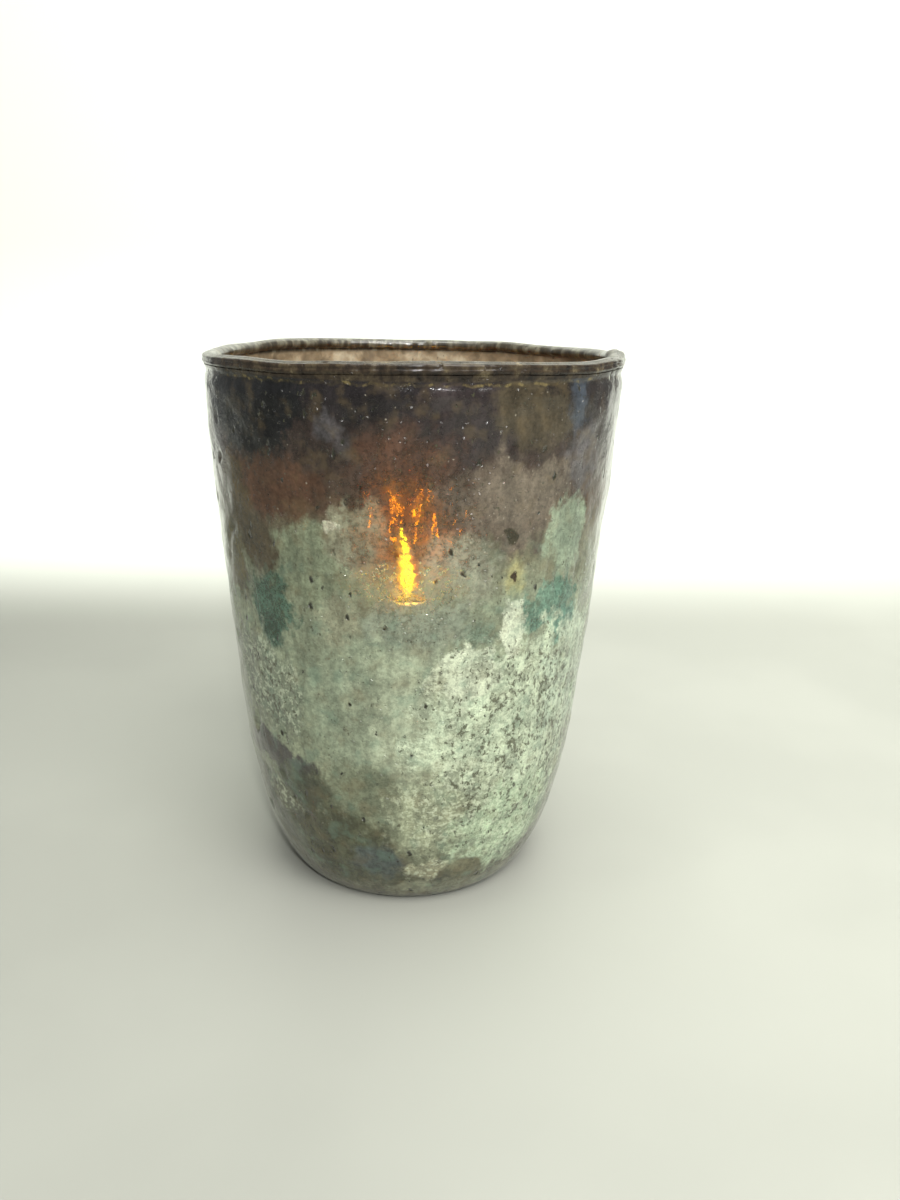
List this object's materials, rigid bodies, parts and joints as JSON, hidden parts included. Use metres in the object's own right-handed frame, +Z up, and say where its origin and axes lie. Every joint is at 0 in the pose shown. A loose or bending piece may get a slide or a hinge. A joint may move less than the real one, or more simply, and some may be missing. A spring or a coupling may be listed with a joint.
{
  "type": "candle holder",
  "caption": "Tall blown glass tumbler for a candle, with a battery wax pillar whose flame sways, a slide switch and a twist-lock door.",
  "frame": {"origin": "centre of the glass foot, on the plane that it stands on", "axes": "+Z up along the glass's axis; the flame's broad side faces -Y, which is the front"},
  "size_m": [0.125, 0.125, 0.165],
  "materials": {
    "patina_glass": "glossy, aged silvering",
    "wax": "satin wax",
    "white_plastic": "fine moulded texture",
    "plated_steel": "nickel plated",
    "board": "solder mask",
    "black_plastic": "moulded",
    "copper": "enamelled wire",
    "lamp_lens": "clear moulding",
    "flame_plastic": "translucent, lit",
    "cell_sleeve": "shrink sleeve",
    "lead_insulation": "PVC"
  },
  "bodies": {
    "vessel": {"glass_vessel": "patina_glass"},
    "candle": {"wax_shell": "wax", "battery_case": "white_plastic", "flame_cradle": "white_plastic", "case_screws": "plated_steel", "circuit_board": "board", "controller_chip": "black_plastic", "filter_capacitor": "black_plastic", "coil_bobbin": "white_plastic", "coil_winding": "copper", "flame_lamp": "lamp_lens", "pivot_wire": "plated_steel", "battery_left": "cell_sleeve", "battery_right": "cell_sleeve", "negative_spring": "plated_steel", "positive_contact": "plated_steel", "switch_body": "plated_steel", "switch_wires": "lead_insulation"},
    "flame": {"flame_paddle": "flame_plastic", "flame_magnet": "plated_steel"},
    "door": {"battery_door": "white_plastic", "bridge_contact": "plated_steel"},
    "switch": {"switch_knob": "black_plastic"}
  },
  "joints": [
    {"name": "candle_lift", "type": "slide", "parent": "vessel", "child": "candle", "axis": [0, 0, 1], "range_m": [0, 0.17]},
    {"name": "flame_sway", "type": "hinge", "parent": "candle", "child": "flame", "pos_m": [0, 0, 0.0854], "axis": [0, 1, 0], "range_deg": [-8, 8]},
    {"name": "door_twist", "type": "hinge", "parent": "candle", "child": "door", "pos_m": [0, 0, 0.0112], "axis": [0, 0, 1], "range_deg": [0, 60]},
    {"name": "switch_slide", "type": "slide", "parent": "candle", "child": "switch", "axis": [1, 0, 0], "range_m": [-0.002, 0.002]}
  ]
}
